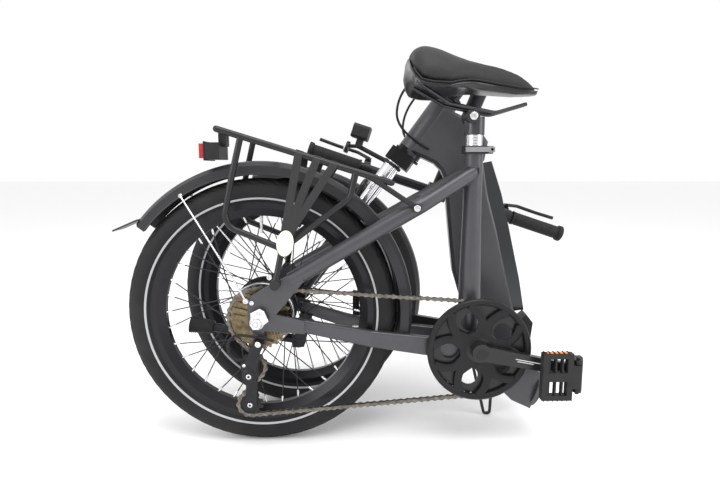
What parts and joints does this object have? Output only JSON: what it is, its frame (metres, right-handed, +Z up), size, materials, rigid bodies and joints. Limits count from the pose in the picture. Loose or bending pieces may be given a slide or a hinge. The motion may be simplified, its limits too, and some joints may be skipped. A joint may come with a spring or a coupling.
{
  "type": "folding bicycle",
  "caption": "Small-wheeled folding electric bicycle stored folded, with hub motor, frame battery, rack, mudguards, folding stem and pedals.",
  "frame": {"origin": "centre of the folded bicycle's bounding box, on the floor", "axes": "+X forward for the rear half, +Y to its left, +Z up, nose tipped 17 degrees down as it rests folded"},
  "size_m": [0.956, 0.4356, 0.7427],
  "materials": {
    "frame_grey": "satin metallic",
    "matte_black": "matte",
    "black_plastic": "matte",
    "gloss_black": "gloss",
    "tyre_rubber": "matte",
    "rubber": "matte",
    "alloy_black": "anodised",
    "alloy": "brushed",
    "steel": "zinc",
    "chrome": "polished",
    "bronze_steel": "bronze",
    "chain_steel": "oiled",
    "saddle_cover": "grained",
    "red_lens": "clear",
    "clear_lens": "clear",
    "elastic": "woven"
  },
  "bodies": {
    "rear_frame": {"seat_tube": "frame_grey", "rear_stays": "frame_grey", "hinge_pin": "steel", "rear_mudguard": "matte_black", "mudguard_stays": "steel", "luggage_rack": "matte_black", "elastic_straps": "elastic", "tail_light": "black_plastic", "tail_light_lens": "red_lens", "seat_collar": "alloy_black", "rear_axle": "steel", "derailleur": "alloy_black", "shift_cable": "black_plastic", "kickstand_bracket": "matte_black", "chain": "chain_steel"},
    "rear_wheel": {"rear_tyre": "tyre_rubber", "rear_rim": "alloy_black", "rear_spokes": "steel", "rear_hub_motor": "alloy_black"},
    "cassette": {"cassette": "bronze_steel"},
    "upper_jockey": {"upper_jockey_wheel": "black_plastic"},
    "lower_jockey": {"lower_jockey_wheel": "black_plastic"},
    "crankset": {"crank_spindle": "steel", "chainring": "alloy_black", "chain_guard": "black_plastic", "right_crank": "alloy_black", "left_crank": "alloy_black"},
    "right_pedal_hub": {"right_pedal_hub": "alloy_black"},
    "right_pedal": {"right_pedal_body": "black_plastic"},
    "left_pedal_hub": {"left_pedal_hub": "alloy_black"},
    "left_pedal": {"left_pedal_body": "black_plastic"},
    "kickstand": {"kickstand_leg": "alloy_black", "kickstand_foot": "rubber"},
    "seat": {"seatpost": "alloy", "saddle_rails": "steel", "saddle_shell": "black_plastic", "saddle_pad": "saddle_cover"},
    "seat_lever": {"seat_clamp_lever": "alloy"},
    "front_frame": {"front_frame": "frame_grey", "controller_cover": "black_plastic", "control_cables": "black_plastic", "rest_loop": "matte_black"},
    "battery": {"battery": "gloss_black"},
    "frame_latch": {"frame_latch": "alloy_black"},
    "steering": {"fork_crown": "chrome", "headlight": "black_plastic", "headlight_lens": "clear_lens", "stem_base": "alloy_black"},
    "fork_slider": {"fork_lowers": "matte_black", "front_mudguard": "matte_black"},
    "front_wheel": {"front_tyre": "tyre_rubber", "front_rim": "alloy_black", "front_spokes": "steel", "front_hub": "alloy_black"},
    "stem_latch": {"stem_latch": "alloy_black"},
    "cockpit": {"stem_post": "alloy_black", "handlebar": "alloy_black", "grips": "rubber"},
    "right_brake_lever": {"right_brake_lever": "alloy_black"},
    "left_brake_lever": {"left_brake_lever": "alloy_black"}
  },
  "joints": [
    {"name": "main_fold", "type": "hinge", "parent": "rear_frame", "child": "front_frame", "pos_m": [0.31587, -0.06281, 0.09261], "axis": [-0.3045, 0, -0.9525], "range_deg": [0, 172.3]},
    {"name": "steering_turn", "type": "hinge", "parent": "front_frame", "child": "steering", "pos_m": [0.07683, 0.03743, 0.55413], "axis": [0.5887, -0.0426, 0.8072], "range_deg": [-3, 8]},
    {"name": "fork_travel", "type": "slide", "parent": "steering", "child": "fork_slider", "axis": [0.5887, -0.0426, 0.8072], "range_m": [0, 0.035], "stiffness_N_per_m": 6000, "springref_m": -0.04},
    {"name": "front_wheel_spin", "type": "hinge", "parent": "fork_slider", "child": "front_wheel", "pos_m": [-0.16652, 0.0564, 0.25381], "axis": [-0.1276, -0.991, 0.0408], "continuous": true},
    {"name": "stem_fold", "type": "hinge", "parent": "steering", "child": "cockpit", "pos_m": [0.22423, 0.04652, 0.71594], "axis": [0.5186, -0.726, -0.4516], "range_deg": [0, 154.11]},
    {"name": "stem_latch_turn", "type": "hinge", "parent": "steering", "child": "stem_latch", "pos_m": [0.19096, 0.02862, 0.69714], "axis": [0.1276, 0.991, -0.0408], "range_deg": [0, 80]},
    {"name": "right_brake_pull", "type": "hinge", "parent": "cockpit", "child": "right_brake_lever", "pos_m": [-0.00343, 0.20153, 0.53854], "axis": [0.2933, -0.3762, 0.8789], "range_deg": [0, 14], "stiffness_Nm_per_rad": 1, "springref_deg": -17.19},
    {"name": "left_brake_pull", "type": "hinge", "parent": "cockpit", "child": "left_brake_lever", "pos_m": [0.33996, 0.20153, 0.42395], "axis": [-0.2933, 0.3762, -0.8789], "range_deg": [0, 14], "stiffness_Nm_per_rad": 1, "springref_deg": -17.19},
    {"name": "battery_slide", "type": "slide", "parent": "front_frame", "child": "battery", "axis": [0.9587, -0.1127, 0.261], "range_m": [0, 0.08]},
    {"name": "frame_latch_turn", "type": "hinge", "parent": "front_frame", "child": "frame_latch", "pos_m": [0.30693, 0.03131, 0.09576], "axis": [-0.3166, 0.0017, -0.9486], "range_deg": [0, 110]},
    {"name": "rear_wheel_spin", "type": "hinge", "parent": "rear_frame", "child": "rear_wheel", "pos_m": [-0.21201, -0.11281, 0.254], "axis": [0, 1, 0], "continuous": true},
    {"name": "crank_spin", "type": "hinge", "parent": "rear_frame", "child": "crankset", "pos_m": [0.19149, -0.11281, 0.193], "axis": [0, 1, 0], "range_deg": [-90, 45], "deforming": ["chain"]},
    {"name": "cassette_spin", "type": "hinge", "parent": "rear_frame", "child": "cassette", "pos_m": [-0.21201, -0.15981, 0.254], "axis": [0, 1, 0], "range_deg": [-141.43, 70.71]},
    {"name": "lower_jockey_spin", "type": "hinge", "parent": "rear_frame", "child": "lower_jockey", "pos_m": [-0.23289, -0.15981, 0.08994], "axis": [0, 1, 0], "range_deg": [-360, 180]},
    {"name": "upper_jockey_spin", "type": "hinge", "parent": "rear_frame", "child": "upper_jockey", "pos_m": [-0.22552, -0.15981, 0.16193], "axis": [0, 1, 0], "range_deg": [-180, 360]},
    {"name": "right_pedal_spin", "type": "hinge", "parent": "crankset", "child": "right_pedal_hub", "pos_m": [0.35819, -0.19281, 0.15969], "axis": [0, 1, 0], "continuous": true},
    {"name": "right_pedal_fold", "type": "hinge", "parent": "right_pedal_hub", "child": "right_pedal", "pos_m": [0.35819, -0.20781, 0.15969], "axis": [0, 0, 1], "range_deg": [0, 90]},
    {"name": "left_pedal_spin", "type": "hinge", "parent": "crankset", "child": "left_pedal_hub", "pos_m": [0.02479, -0.03281, 0.22631], "axis": [0, 1, 0], "continuous": true},
    {"name": "left_pedal_fold", "type": "hinge", "parent": "left_pedal_hub", "child": "left_pedal", "pos_m": [0.02479, -0.01781, 0.22631], "axis": [0, 0, -1], "range_deg": [0, 15]},
    {"name": "kickstand_swing", "type": "hinge", "parent": "rear_frame", "child": "kickstand", "pos_m": [-0.15246, -0.04681, 0.17514], "axis": [0, -1, 0], "range_deg": [0, 110]},
    {"name": "seatpost_slide", "type": "slide", "parent": "rear_frame", "child": "seat", "axis": [0, 0, 1], "range_m": [0, 0.17]},
    {"name": "seat_clamp_turn", "type": "hinge", "parent": "rear_frame", "child": "seat_lever", "pos_m": [0.20999, -0.11281, 0.559], "axis": [0, -1, 0], "range_deg": [0, 120]}
  ],
  "couplings": [
    {"joint": "cassette_spin", "follows": "crank_spin", "ratio": 1.5714},
    {"joint": "lower_jockey_spin", "follows": "crank_spin", "ratio": 4},
    {"joint": "upper_jockey_spin", "follows": "crank_spin", "ratio": -4}
  ]
}
